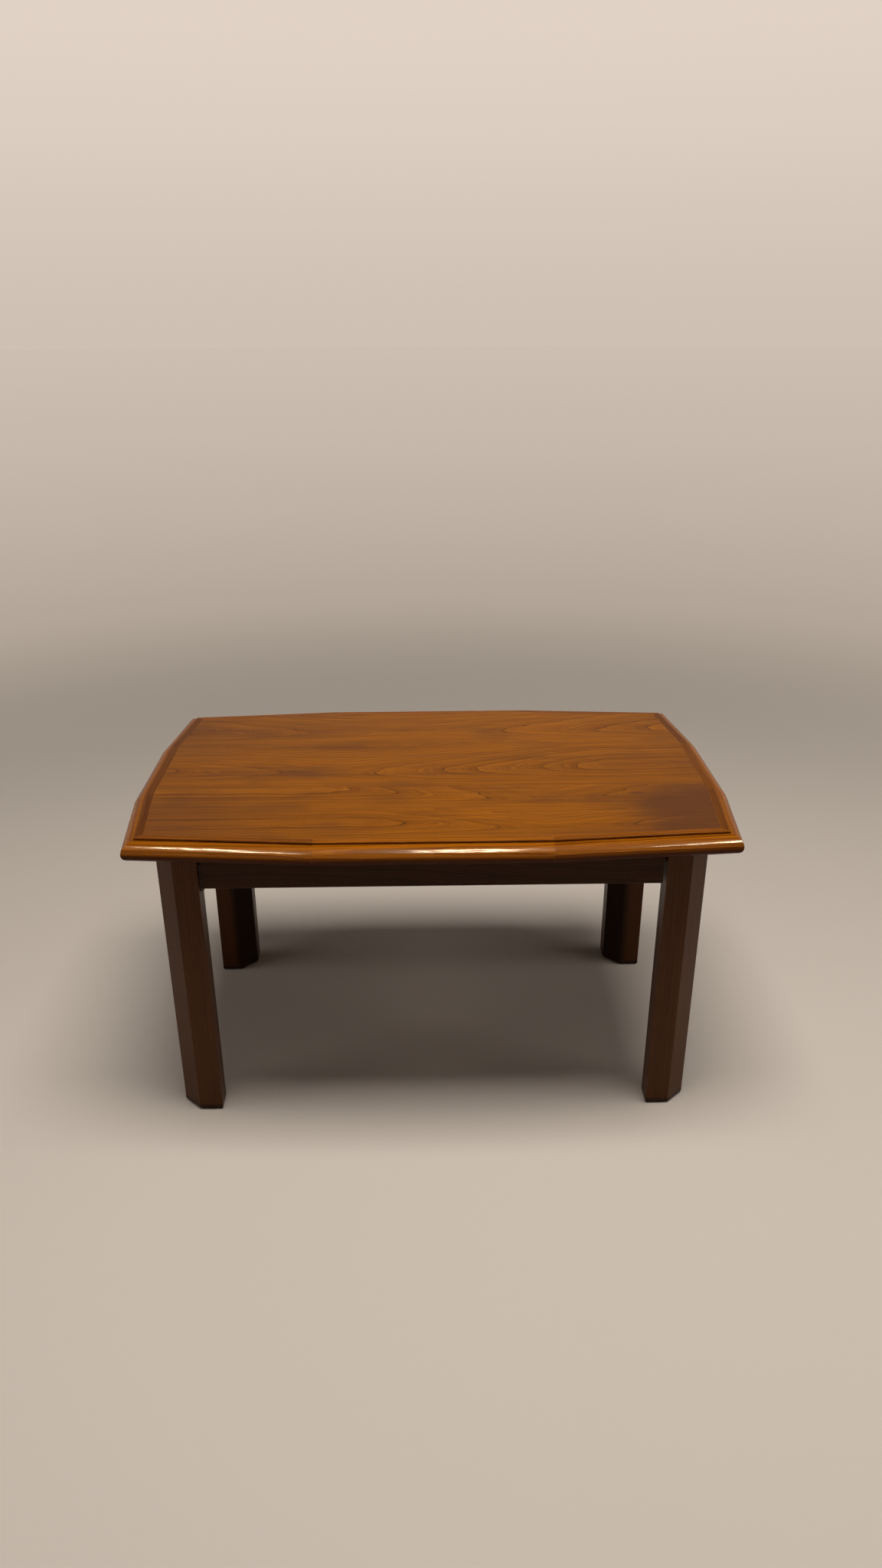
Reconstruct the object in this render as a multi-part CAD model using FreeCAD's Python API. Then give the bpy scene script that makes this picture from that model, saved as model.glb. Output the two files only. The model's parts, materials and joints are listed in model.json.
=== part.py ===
import FreeCAD, Part
import math
import os

os.makedirs("parts", exist_ok=True)

# Low folding table, millimetres, +Z up, long side along X, front towards -Y, feet on z = 0.

# Overall heights
table_height = 320.0
top_thickness = 20.0
overrun = 5.0

# Twelve sided top, taken at the foot of the moulding's step
corner_half_width = 276.5
corner_half_depth = 175.5
long_side_vertex_x = 110.5
long_side_bulge = 15.0
short_side_vertex_y = 70.0
short_side_bulge = 11.0

# Border moulding, measured outwards from the step
border_flat_strip = 8.0
step_drop = 2.2
step_arris_radius = 0.5
quirk_width = 2.0
nose_upper_radius = 10.5
nose_lower_radius = top_thickness - step_drop - nose_upper_radius
tongue_depth = 7.0
tongue_thickness = 5.0
tongue_height = 6.0
tongue_end_clearance = 0.5

# Panel inside the border
veneer_thickness = 1.0
veneer_seam_y = -55.0

# Legs
leg_inset_from_side = 10.5
leg_inset_from_front = 10.5
leg_size = 42.0
leg_chamfer = 18.5
leg_arris_radius = 1.0
foot_bevel = 2.5

# Aprons
apron_setback = 4.0
apron_thickness = 20.0
long_apron_height = 41.0
short_apron_height = 55.5
apron_edge_bevel = 1.0

# Corner braces and centre batten
brace_gap_to_leg = 4.0
brace_thickness = 20.0
brace_height = 28.0
batten_width = 40.0
batten_height = 24.0

# Butt hinges, one beside each leg
leaf_thickness = 1.1
leaf_spacing = 0.4
leaf_height = 26.0
hinge_length = 14.0
hinge_setback = 9.3
knuckle_count = 3
knuckle_side_clearance = 0.2
pin_radius = 1.1
pin_clearance = 0.04
pin_head_radius = 1.7
pin_head_thickness = 0.5
knuckle_wall = 1.1
knuckle_clearance = 0.35
groove_clearance = 0.3

# Screws
hinge_screw_shank_radius = 1.4
hinge_screw_head_radius = 2.5
hinge_screw_length = 14.0
hinge_screw_spacing = 12.0
hinge_screw_first = 8.0
frame_screw_shank_radius = 1.9
frame_screw_head_radius = 3.8
frame_screw_bite = 14.0
frame_screw_sink = 1.0
screw_tip_share = 0.25
screw_slot_width = 0.8
screw_slot_depth = 0.6
screw_clearance = 0.05
brace_screw_offset = 11.0
batten_screw_spacing = 95.0

# Magnetic catches that keep the legs upright
catch_drop = 7.0
catch_centre_from_arris = 14.0
magnet_radius = 4.0
magnet_length = 9.0
catch_air_gap = 0.1
strike_radius = 4.6
strike_screw_shank_radius = 1.0
strike_screw_head_radius = 2.0
strike_screw_length = 9.0

# Derived values
underside_z = table_height - top_thickness
gap = 2.0 * leaf_thickness + leaf_spacing
half_gap = gap / 2.0
leaf_inner = leaf_spacing / 2.0
pin_hole_radius = pin_radius + pin_clearance
knuckle_radius = pin_hole_radius + knuckle_wall
axis_drop = knuckle_radius + knuckle_clearance
leg_outer_half_width = corner_half_width - leg_inset_from_side
leg_outer_half_depth = corner_half_depth - leg_inset_from_front
leg_inner_half_width = leg_outer_half_width - leg_size
leg_inner_half_depth = leg_outer_half_depth - leg_size


def vec(x, y, z):
    return FreeCAD.Vector(x, y, z)


def save(name, solids):
    shape = solids[0]
    if len(solids) > 1:
        shape = Part.makeCompound(solids)
    shape.exportStep("parts/" + name + ".step")


def prism(points, low_z, high_z):
    corners = [vec(x, y, low_z) for x, y in points]
    face = Part.Face(Part.makePolygon(corners + corners[:1]))
    return face.extrude(vec(0, 0, high_z - low_z))


def rod(radius, length, start, direction):
    return Part.makeCylinder(radius, length, start, direction)


def box(low, high):
    size = high.sub(low)
    return Part.makeBox(size.x, size.y, size.z, low)


# Outline of the top, offset outwards and mitred at every vertex
def base_outline():
    x1 = corner_half_width
    y1 = corner_half_depth
    xv = long_side_vertex_x
    yv = short_side_vertex_y
    front_y = -y1 - long_side_bulge
    side_x = x1 + short_side_bulge
    return [
        (-x1, -y1), (-xv, front_y), (xv, front_y), (x1, -y1),
        (side_x, -yv), (side_x, yv), (x1, y1), (xv, -front_y),
        (-xv, -front_y), (-x1, y1), (-side_x, yv), (-side_x, -yv),
    ]


def outline(offset):
    base = base_outline()
    count = len(base)
    edges = []
    for i in range(count):
        ax, ay = base[i]
        bx, by = base[(i + 1) % count]
        length = math.hypot(bx - ax, by - ay)
        dx = (bx - ax) / length
        dy = (by - ay) / length
        edges.append((ax + dy * offset, ay - dx * offset, dx, dy))
    points = []
    for i in range(count):
        ax, ay, adx, ady = edges[i - 1]
        bx, by, bdx, bdy = edges[i]
        cross = adx * bdy - ady * bdx
        t = ((bx - ax) * bdy - (by - ay) * bdx) / cross
        points.append((ax + adx * t, ay + ady * t))
    return points


# Section of one border piece, laid out in a frame that stands across the edge
def border_section(origin, outward):
    step_z = table_height - step_drop
    nose_z = step_z - nose_upper_radius
    nose_x = quirk_width + nose_upper_radius
    lower_x = nose_x - nose_lower_radius
    tongue_low = underside_z + tongue_height
    tongue_high = tongue_low + tongue_thickness
    tongue_x = -border_flat_strip - tongue_depth
    half = math.sqrt(0.5)

    def at(out, z):
        return vec(origin[0] + outward[0] * out, origin[1] + outward[1] * out, z)

    def line(a, b):
        return Part.makeLine(at(a[0], a[1]), at(b[0], b[1]))

    def arc(centre, radius, start, middle, end):
        points = [at(centre[0] + radius * c, centre[1] + radius * s) for c, s in (start, middle, end)]
        return Part.Arc(points[0], points[1], points[2]).toShape()

    arris = step_arris_radius
    edges = [
        line((-border_flat_strip, table_height), (-arris, table_height)),
        arc((-arris, table_height - arris), arris, (0, 1), (half, half), (1, 0)),
        line((0, table_height - arris), (0, step_z)),
        line((0, step_z), (quirk_width, step_z)),
        arc((quirk_width, nose_z), nose_upper_radius, (0, 1), (half, half), (1, 0)),
        arc((lower_x, nose_z), nose_lower_radius, (1, 0), (half, -half), (0, -1)),
        line((lower_x, underside_z), (-border_flat_strip, underside_z)),
        line((-border_flat_strip, underside_z), (-border_flat_strip, tongue_low)),
        line((-border_flat_strip, tongue_low), (tongue_x, tongue_low)),
        line((tongue_x, tongue_low), (tongue_x, tongue_high)),
        line((tongue_x, tongue_high), (-border_flat_strip, tongue_high)),
        line((-border_flat_strip, tongue_high), (-border_flat_strip, table_height)),
    ]
    return Part.Face(Part.Wire(edges))


def border_pieces():
    names = [
        "border_front_left", "border_front_middle", "border_front_right",
        "border_right_front", "border_right_middle", "border_right_back",
        "border_back_right", "border_back_middle", "border_back_left",
        "border_left_back", "border_left_middle", "border_left_front",
    ]
    base = base_outline()
    inner = outline(-border_flat_strip - tongue_depth - overrun)
    outer = outline(quirk_width + nose_upper_radius + overrun)
    count = len(base)
    for i in range(count):
        j = (i + 1) % count
        ax, ay = base[i]
        bx, by = base[j]
        length = math.hypot(bx - ax, by - ay)
        dx = (bx - ax) / length
        dy = (by - ay) / length
        reach = border_flat_strip + tongue_depth + nose_upper_radius + overrun
        start = (ax - dx * reach, ay - dy * reach)
        section = border_section(start, (dy, -dx))
        bar = section.extrude(vec(dx * (length + 2 * reach), dy * (length + 2 * reach), 0))
        wedge = prism([inner[i], outer[i], outer[j], inner[j]], underside_z - overrun, table_height + overrun)
        save(names[i], [bar.common(wedge).Solids[0]])


# Screws: a countersunk slotted head, a straight shank and a tapered tip
def screw(point, direction, length, shank, head):
    head_depth = head - shank
    tip = length * screw_tip_share
    cone = Part.makeCone(head, shank, head_depth, point, direction)
    body = rod(shank, length - tip, point, direction)
    taper = Part.makeCone(shank, shank * screw_tip_share, tip, point.add(direction * (length - tip)), direction)
    solid = cone.fuse(body).fuse(taper)
    slot = Part.makeBox(head * 2 + overrun, screw_slot_width, screw_slot_depth * 2)
    slot.translate(vec(-head - overrun / 2.0, -screw_slot_width / 2.0, -screw_slot_depth))
    slot.Placement = FreeCAD.Placement(point, FreeCAD.Rotation(vec(0, 0, 1), direction)).multiply(slot.Placement)
    return solid.cut(slot).removeSplitter()


# Room for a screw in the wood: the same outline grown by the clearance
def screw_room(point, direction, length, shank, head):
    grow = screw_clearance
    head_depth = head - shank
    cone = Part.makeCone(head + grow, shank + grow, head_depth, point, direction)
    body = rod(shank + grow, length + grow, point, direction)
    return cone.fuse(body)


def move(shape, frame):
    moved = shape.copy()
    moved.Placement = frame.multiply(moved.Placement)
    return moved


# One frame per leg: x towards the fixed end of the apron, y away from the outer face, z up
def leg_frames():
    x_in = leg_inner_half_width - half_gap
    y_in = leg_inner_half_depth - half_gap
    x_out = leg_outer_half_width
    y_out = leg_outer_half_depth
    places = [
        ("front_left", vec(-x_in, -y_out, 0), 0.0, long_apron_height),
        ("front_right", vec(x_out, -y_in, 0), 90.0, short_apron_height),
        ("back_right", vec(x_in, y_out, 0), 180.0, long_apron_height),
        ("back_left", vec(-x_out, y_in, 0), 270.0, short_apron_height),
    ]
    frames = []
    for name, origin, turn, height in places:
        place = FreeCAD.Placement(origin, FreeCAD.Rotation(vec(0, 0, 1), turn))
        frames.append((name, place, underside_z - height - axis_drop))
    return frames


def hinge_screw_heights(axis_z):
    return [axis_z + hinge_screw_first, axis_z + hinge_screw_first + hinge_screw_spacing]


def hinge_middle():
    return hinge_setback + hinge_length / 2.0


def screws_for(side, axis_z, maker):
    direction = vec(side, 0, 0)
    start_x = side * leaf_inner
    made = []
    for z in hinge_screw_heights(axis_z):
        made.append(maker(vec(start_x, hinge_middle(), z), direction, hinge_screw_length,
                          hinge_screw_shank_radius, hinge_screw_head_radius))
    return made


# Hinge leaf: side +1 is screwed to the apron, side -1 to the leg
def hinge_leaf(side, axis_z):
    span = hinge_length / knuckle_count
    low_x = min(side * leaf_inner, side * half_gap)
    plate = box(vec(low_x, hinge_setback, axis_z),
                vec(low_x + leaf_thickness, hinge_setback + hinge_length, axis_z + leaf_height))
    along = vec(0, 1, 0)
    own = []
    for i in range(knuckle_count):
        start = hinge_setback + span * i
        fixed = i % 2 == 0
        if (side > 0) == fixed:
            low = start + (knuckle_side_clearance / 2.0 if i > 0 else 0.0)
            high = start + span - (knuckle_side_clearance / 2.0 if i < knuckle_count - 1 else 0.0)
            own.append(rod(knuckle_radius, high - low, vec(0, low, axis_z), along))
        else:
            low = start - knuckle_side_clearance / 2.0
            room = rod(knuckle_radius + knuckle_clearance, span + knuckle_side_clearance,
                       vec(0, low, axis_z), along)
            plate = plate.cut(room)
    leaf = plate
    for knuckle in own:
        leaf = leaf.fuse(knuckle)
    hole = rod(pin_hole_radius, hinge_length + 2 * overrun, vec(0, hinge_setback - overrun, axis_z), along)
    leaf = leaf.cut(hole)
    for room in screws_for(side, axis_z, screw_room):
        leaf = leaf.cut(room)
    return leaf.removeSplitter()


def hinge_pin(axis_z):
    along = vec(0, 1, 0)
    start = hinge_setback - knuckle_side_clearance
    length = hinge_length + 2 * knuckle_side_clearance
    pin = rod(pin_radius, length, vec(0, start, axis_z), along)
    front = rod(pin_head_radius, pin_head_thickness, vec(0, start - pin_head_thickness, axis_z), along)
    back = rod(pin_head_radius, pin_head_thickness, vec(0, start + length, axis_z), along)
    return pin.fuse(front).fuse(back).removeSplitter()


def catch_point(x):
    return vec(x, catch_centre_from_arris, underside_z - catch_drop)


def magnet():
    return rod(magnet_radius, half_gap + magnet_length, catch_point(0), vec(1, 0, 0))


def strike_face_x():
    return -catch_air_gap


def strike():
    disc = rod(strike_radius, half_gap - catch_air_gap, catch_point(-half_gap), vec(1, 0, 0))
    room = screw_room(catch_point(strike_face_x()), vec(-1, 0, 0), strike_screw_length,
                      strike_screw_shank_radius, strike_screw_head_radius)
    return disc.cut(room)


# Leg: a square post with its outer and inner corners cut off
def leg(axis_z):
    x_low = -half_gap - leg_size
    x_high = -half_gap
    points = [
        (x_low + leg_chamfer, 0.0), (x_high, 0.0), (x_high, leg_size - leg_chamfer),
        (x_high - leg_chamfer, leg_size), (x_low, leg_size), (x_low, leg_chamfer),
    ]
    post = prism(points, 0.0, underside_z)
    upright = [e for e in post.Edges if abs(e.BoundBox.ZLength - underside_z) < leg_arris_radius]
    post = post.makeFillet(leg_arris_radius, upright)
    sole = [e for e in post.Edges if e.BoundBox.ZMax < leg_arris_radius]
    post = post.makeChamfer(foot_bevel, sole)
    groove_start = hinge_setback - knuckle_side_clearance - pin_head_thickness - groove_clearance
    groove_length = hinge_length + 2 * (hinge_setback - groove_start)
    groove = rod(knuckle_radius + groove_clearance, groove_length, vec(0, groove_start, axis_z), vec(0, 1, 0))
    post = post.cut(groove)
    for room in screws_for(-1, axis_z, screw_room):
        post = post.cut(room)
    room = screw_room(catch_point(strike_face_x()), vec(-1, 0, 0), strike_screw_length,
                      strike_screw_shank_radius, strike_screw_head_radius)
    return post.cut(room)


# Everything that belongs to one corner, built in the leg's own frame
def corners():
    for name, frame, axis_z in leg_frames():
        save("leg_" + name, [move(leg(axis_z), frame)])
        save("hinge_apron_leaf_" + name, [move(hinge_leaf(1, axis_z), frame)])
        save("hinge_leg_leaf_" + name, [move(hinge_leaf(-1, axis_z), frame)])
        save("hinge_pin_" + name, [move(hinge_pin(axis_z), frame)])
        save("catch_strike_" + name, [move(strike(), frame)])
        screws = screws_for(-1, axis_z, screw)
        screws.append(screw(catch_point(strike_face_x()), vec(-1, 0, 0), strike_screw_length,
                            strike_screw_shank_radius, strike_screw_head_radius))
        save("leg_screws_" + name, [move(s, frame) for s in screws])


# Holes that the fixed frame needs at each corner
def corner_rooms():
    rooms = []
    for name, frame, axis_z in leg_frames():
        for room in screws_for(1, axis_z, screw_room):
            rooms.append(move(room, frame))
        hole = rod(magnet_radius + screw_clearance, magnet_length + half_gap, catch_point(0), vec(1, 0, 0))
        rooms.append(move(hole, frame))
    return rooms


def hinge_screws_in_aprons():
    made = []
    for name, frame, axis_z in leg_frames():
        for item in screws_for(1, axis_z, screw):
            made.append(move(item, frame))
    save("hinge_screws_aprons", made)


def catch_magnets():
    save("catch_magnets", [move(magnet(), frame) for name, frame, axis_z in leg_frames()])


# Aprons, bevelled along the lower outer arris
def apron(half_length, outer, height, turn):
    low_z = underside_z - height
    bar = box(vec(-half_length, -outer, low_z), vec(half_length, -outer + apron_thickness, underside_z))
    lower = [e for e in bar.Edges if e.BoundBox.ZMax < low_z + apron_edge_bevel
             and e.BoundBox.XLength > half_length]
    bar = bar.makeChamfer(apron_edge_bevel, lower)
    bar.rotate(vec(0, 0, 0), vec(0, 0, 1), turn)
    return bar


def aprons():
    long_half = leg_inner_half_width - gap
    short_half = leg_inner_half_depth - gap
    front = leg_outer_half_depth - apron_setback
    side = leg_outer_half_width - apron_setback
    rooms = corner_rooms()
    pieces = [
        ("apron_front", apron(long_half, front, long_apron_height, 0.0)),
        ("apron_right", apron(short_half, side, short_apron_height, 90.0)),
        ("apron_back", apron(long_half, front, long_apron_height, 180.0)),
        ("apron_left", apron(short_half, side, short_apron_height, 270.0)),
    ]
    for name, bar in pieces:
        for room in rooms:
            bar = bar.cut(room)
        save(name, [bar])


# Diagonal braces behind the chamfers of the legs
def brace_plan(sign_x, sign_y):
    inner_y = leg_outer_half_depth - apron_setback - apron_thickness
    inner_x = leg_outer_half_width - apron_setback - apron_thickness
    leg_sum = leg_inner_half_width + leg_outer_half_depth - leg_size + leg_chamfer
    outer_sum = leg_sum - brace_gap_to_leg * math.sqrt(2.0)
    inner_sum = outer_sum - brace_thickness * math.sqrt(2.0)
    points = [
        (outer_sum - inner_y, inner_y), (inner_sum - inner_y, inner_y),
        (inner_x, inner_sum - inner_x), (inner_x, outer_sum - inner_x),
    ]
    return [(sign_x * x, sign_y * y) for x, y in points]


def brace_screw_points(sign_x, sign_y):
    plan = brace_plan(sign_x, sign_y)
    middle_x = sum(p[0] for p in plan) / len(plan)
    middle_y = sum(p[1] for p in plan) / len(plan)
    spread = brace_screw_offset / math.sqrt(2.0)
    return [(middle_x - sign_x * spread, middle_y + sign_y * spread),
            (middle_x + sign_x * spread, middle_y - sign_y * spread)]


def frame_screw(x, y, thickness, maker):
    low = underside_z - thickness + frame_screw_sink
    length = underside_z + frame_screw_bite - low
    return maker(vec(x, y, low), vec(0, 0, 1), length, frame_screw_shank_radius, frame_screw_head_radius)


def sink(x, y, thickness):
    low = underside_z - thickness
    return rod(frame_screw_head_radius + screw_clearance, frame_screw_sink, vec(x, y, low), vec(0, 0, 1))


def braces_and_batten():
    signs = [("front_left", -1, -1), ("front_right", 1, -1), ("back_right", 1, 1), ("back_left", -1, 1)]
    screws = []
    rooms = []
    for name, sign_x, sign_y in signs:
        piece = prism(brace_plan(sign_x, sign_y), underside_z - brace_height, underside_z)
        for x, y in brace_screw_points(sign_x, sign_y):
            room = frame_screw(x, y, brace_height, screw_room)
            piece = piece.cut(room).cut(sink(x, y, brace_height))
            rooms.append(room)
            screws.append(frame_screw(x, y, brace_height, screw))
        save("corner_brace_" + name, [piece])
    reach = leg_outer_half_depth - apron_setback - apron_thickness
    batten = box(vec(-batten_width / 2.0, -reach, underside_z - batten_height),
                 vec(batten_width / 2.0, reach, underside_z))
    for step in (-1, 0, 1):
        y = step * batten_screw_spacing
        room = frame_screw(0, y, batten_height, screw_room)
        batten = batten.cut(room).cut(sink(0, y, batten_height))
        rooms.append(room)
        screws.append(frame_screw(0, y, batten_height, screw))
    save("centre_batten", [batten])
    save("frame_screws", screws)
    return rooms


# Panel: a core board grooved for the border's tongues, faced with two leaves of veneer
def panel(rooms):
    edge = outline(-border_flat_strip)
    core = prism(edge, underside_z, table_height - veneer_thickness)
    low = underside_z + tongue_height
    outer = prism(outline(overrun), low, low + tongue_thickness)
    inner = prism(outline(-border_flat_strip - tongue_depth - tongue_end_clearance),
                  low, low + tongue_thickness)
    core = core.cut(outer.cut(inner))
    for room in rooms:
        core = core.cut(room)
    save("panel_core", [core])
    sheet = prism(edge, table_height - veneer_thickness, table_height)
    reach = corner_half_width + short_side_bulge + overrun
    back = box(vec(-reach, veneer_seam_y, underside_z), vec(reach, reach, table_height + overrun))
    save("veneer_back_leaf", [sheet.common(back)])
    save("veneer_front_leaf", [sheet.cut(back)])


border_pieces()
corners()
hinge_screws_in_aprons()
catch_magnets()
aprons()
panel(braces_and_batten())
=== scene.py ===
# A small low table: a veneered top with a bulged outline and a moulded border, on four stout
# chamfered legs. Each leg folds flat under the top on its own hinge, one after another.
import bmesh
import bpy
import json
import math
from mathutils import Matrix, Vector


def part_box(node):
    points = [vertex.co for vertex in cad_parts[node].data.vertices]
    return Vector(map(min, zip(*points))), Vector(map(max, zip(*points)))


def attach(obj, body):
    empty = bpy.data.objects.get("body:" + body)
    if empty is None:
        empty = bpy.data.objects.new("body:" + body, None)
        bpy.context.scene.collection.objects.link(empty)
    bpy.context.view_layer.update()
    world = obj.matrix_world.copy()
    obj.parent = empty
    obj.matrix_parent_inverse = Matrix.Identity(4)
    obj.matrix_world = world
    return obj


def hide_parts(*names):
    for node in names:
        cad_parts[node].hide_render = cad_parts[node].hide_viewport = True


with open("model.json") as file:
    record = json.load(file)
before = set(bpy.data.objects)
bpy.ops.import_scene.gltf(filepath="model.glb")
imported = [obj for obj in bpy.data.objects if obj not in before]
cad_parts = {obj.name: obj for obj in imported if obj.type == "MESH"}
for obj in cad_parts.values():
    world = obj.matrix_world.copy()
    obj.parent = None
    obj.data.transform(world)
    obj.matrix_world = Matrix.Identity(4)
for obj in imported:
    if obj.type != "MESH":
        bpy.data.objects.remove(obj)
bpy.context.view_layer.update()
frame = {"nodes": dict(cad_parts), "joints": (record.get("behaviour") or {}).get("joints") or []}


# Core board
# The board under the veneer, made of glued softwood strips and grooved round its edge for the
# border's tongues. Only its underside shows. It was wiped once with thin brown stain.
def feed(tree, node, feeds):
    for socket, value in feeds.items():
        if isinstance(value, bpy.types.NodeSocket):
            tree.links.new(value, node.inputs[socket])
        else:
            node.inputs[socket].default_value = value


def add_node(tree, kind, feeds=None, **settings):
    node = tree.nodes.new(kind)
    for name, value in settings.items():
        setattr(node, name, value)
    feed(tree, node, feeds or {})
    return node


def result(tree, kind, feeds=None, **settings):
    return add_node(tree, kind, feeds, **settings).outputs[0]


def number(tree, operation, *values):
    return result(tree, "ShaderNodeMath", dict(enumerate(values)), operation=operation)


def plus(tree, first, second):
    return number(tree, "ADD", first, second)


def minus(tree, first, second):
    return number(tree, "SUBTRACT", first, second)


def larger(tree, first, second):
    return number(tree, "MAXIMUM", first, second)


def times(tree, first, second):
    return number(tree, "MULTIPLY", first, second)


def times_plus(tree, first, second, base):
    return number(tree, "MULTIPLY_ADD", first, second, base)


def rest_of(tree, share):
    return minus(tree, 1.0, share)


def vector(tree, operation, first, second):
    feeds = {0: first, "Scale" if operation == "SCALE" else 1: second}
    return add_node(tree, "ShaderNodeVectorMath", feeds, operation=operation).outputs["Vector"]


def measure(tree, operation, *values):
    feeds = dict(enumerate(values))
    return add_node(tree, "ShaderNodeVectorMath", feeds, operation=operation).outputs["Value"]


def axes(tree, place):
    return add_node(tree, "ShaderNodeSeparateXYZ", {0: place}).outputs


def fade(tree, value, start, end, low=0.0, high=1.0):
    feeds = {0: value, 1: start, 2: end, 3: low, 4: high}
    return result(tree, "ShaderNodeMapRange", feeds, interpolation_type="SMOOTHSTEP")


# The sockets of a mix are told apart by number, because their names repeat
def blend_colour(tree, share, first, second):
    return add_node(tree, "ShaderNodeMix", {0: share, 6: first, 7: second}, data_type="RGBA").outputs[2]


def cloud(tree, place, size, detail=2.0, output=0):
    feeds = {"Vector": vector(tree, "DIVIDE", place, size), "Scale": 1.0, "Detail": detail}
    return add_node(tree, "ShaderNodeTexNoise", feeds).outputs[output]


# A cloud about nought: a number, or with wide set a vector
def sway(tree, place, size, detail=2.0, wide=False):
    if wide:
        return vector(tree, "SUBTRACT", cloud(tree, place, size, detail, 1), (0.5, 0.5, 0.5))
    return minus(tree, cloud(tree, place, size, detail), 0.5)


# A tree of nodes with its inputs and outputs, each by name and kind
def new_tree(kind, name, takes, gives):
    tree = bpy.data.node_groups.new(name, kind + "NodeTree")
    for way, sockets in (("INPUT", takes), ("OUTPUT", gives)):
        for label, socket in sockets.items():
            tree.interface.new_socket(label, in_out=way, socket_type="NodeSocket" + socket)
    return tree, tree.nodes.new("NodeGroupInput").outputs, tree.nodes.new("NodeGroupOutput").inputs


# A group of shader nodes that takes a place and numbers, and gives numbers
def new_group(name, takes, gives):
    takes = {"Place": "Vector", **dict.fromkeys(takes, "Float")}
    return new_tree("Shader", name, takes, dict.fromkeys(gives, "Float"))


def place_group(tree, group, feeds):
    return add_node(tree, "ShaderNodeGroup", feeds, node_tree=group).outputs


ring_labels = ("Pith Across", "Pith Depth", "Taper", "Ring Width", "Wander", "Ripple")
board_wander, board_ripple = 5.0, 0.7


# Growth rings of a sawn board: cones about a pith that runs along X, in millimetres
def build_sawn_rings():
    drift_size, ripple_size = (170.0, 30.0, 30.0), (55.0, 5.0, 5.0)
    tree, given, made = new_group("sawn board rings", ring_labels, ["Rings"])
    drift = sway(tree, given["Place"], drift_size, detail=1.0, wide=True)
    drift = vector(tree, "SCALE", drift, given["Wander"])
    moved = axes(tree, vector(tree, "ADD", given["Place"], drift))
    across = minus(tree, moved[1], given["Pith Across"])
    rise = times(tree, moved[0], given["Taper"])
    deep = plus(tree, minus(tree, moved[2], given["Pith Depth"]), rise)
    square = times_plus(tree, across, across, times(tree, deep, deep))
    rings = number(tree, "DIVIDE", number(tree, "SQRT", square), given["Ring Width"])
    ripple = sway(tree, given["Place"], ripple_size)
    tree.links.new(times_plus(tree, ripple, given["Ripple"], rings), made["Rings"])
    return tree


# Figure drawn by the rings: late wood lines, ring tone, fine lines, fibre streaks and open pores
def build_wood_figure():
    line_peak, palest_line = 0.985, 0.35
    tone_from_place, fine_lines_in_ring = 0.62, 6.5
    fibre_size, pore_size = (70.0, 0.9, 0.9), (6.5, 0.32, 0.32)
    pore_threshold, late_wood, pores_in_late_wood = (0.6, 0.72), (0.15, 0.75), 0.25
    gives = ["Lines", "Tone", "Fine Lines", "Fibre", "Pores"]
    tree, given, made = new_group("wood figure", ["Rings", "Line Share"], gives)
    part = number(tree, "FRACT", given["Rings"])
    ring = number(tree, "FLOOR", given["Rings"])
    chance = add_node(tree, "ShaderNodeTexWhiteNoise", {"W": ring}, noise_dimensions="1D").outputs["Value"]
    start = rest_of(tree, times(tree, given["Line Share"], 2.0))
    climb = fade(tree, part, start, line_peak)
    fall = fade(tree, part, line_peak, 1.0, 1.0, 0.0)
    weight = times_plus(tree, chance, 1.0 - palest_line, palest_line)
    tree.links.new(times(tree, times(tree, climb, fall), weight), made["Lines"])
    by_chance = times(tree, chance, 1.0 - tone_from_place)
    tree.links.new(times_plus(tree, part, tone_from_place, by_chance), made["Tone"])
    feeds = {"W": times(tree, given["Rings"], fine_lines_in_ring), "Detail": 2.0, "Scale": 1.0}
    fine = result(tree, "ShaderNodeTexNoise", feeds, noise_dimensions="1D")
    tree.links.new(fine, made["Fine Lines"])
    tree.links.new(cloud(tree, given["Place"], fibre_size, detail=3.0), made["Fibre"])
    dashes = fade(tree, cloud(tree, given["Place"], pore_size, detail=1.0), *pore_threshold)
    early = fade(tree, part, *late_wood, 1.0, pores_in_late_wood)
    tree.links.new(times(tree, dashes, early), made["Pores"])
    return tree


# Use of the surface: hair scratches, hazy patches and the slight ripple of brushed lacquer
def build_use_marks():
    scratch_size, haze_size, ripple_size = (60.0, 0.5, 0.5), (45.0, 24.0, 24.0), (14.0, 3.2, 3.2)
    scratch_turns, scratch_patches, scratch_tilt = (0.35, -0.9), (61.0, 83.0), 0.3
    hair_fade, patch_fade = (0.685, 0.72), (0.52, 0.66)
    tree, given, made = new_group("marks of use", [], ["Scratches", "Haze", "Ripple"])
    layers = []
    for turn, patch in zip(scratch_turns, scratch_patches):
        turned = result(tree, "ShaderNodeMapping", {0: given["Place"], "Rotation": (scratch_tilt, 0.0, turn)})
        hair = fade(tree, cloud(tree, turned, scratch_size, detail=1.0), *hair_fade)
        where = fade(tree, cloud(tree, given["Place"], (patch, patch, patch), detail=1.0), *patch_fade)
        layers.append(times(tree, hair, where))
    tree.links.new(larger(tree, *layers), made["Scratches"])
    tree.links.new(cloud(tree, given["Place"], haze_size, detail=3.0), made["Haze"])
    tree.links.new(cloud(tree, given["Place"], ripple_size), made["Ripple"])
    return tree


# Arrises rubbed by hands and cloths, broken up so that they are not worn evenly
def build_rubbed_arris():
    patch_size, edge_fade, patch_fade = (22.0, 5.0, 5.0), (0.998, 0.9), (0.42, 0.62)
    tree, given, made = new_group("rubbed arris", ["Reach"], ["Wear"])
    rounded = result(tree, "ShaderNodeBevel", {"Radius": given["Reach"]}, samples=4)
    true = tree.nodes.new("ShaderNodeNewGeometry").outputs["Normal"]
    edge = fade(tree, measure(tree, "DOT_PRODUCT", rounded, true), *edge_fade)
    patchy = fade(tree, cloud(tree, given["Place"], patch_size, detail=3.0), *patch_fade)
    tree.links.new(times(tree, edge, patchy), made["Wear"])
    return tree


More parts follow.
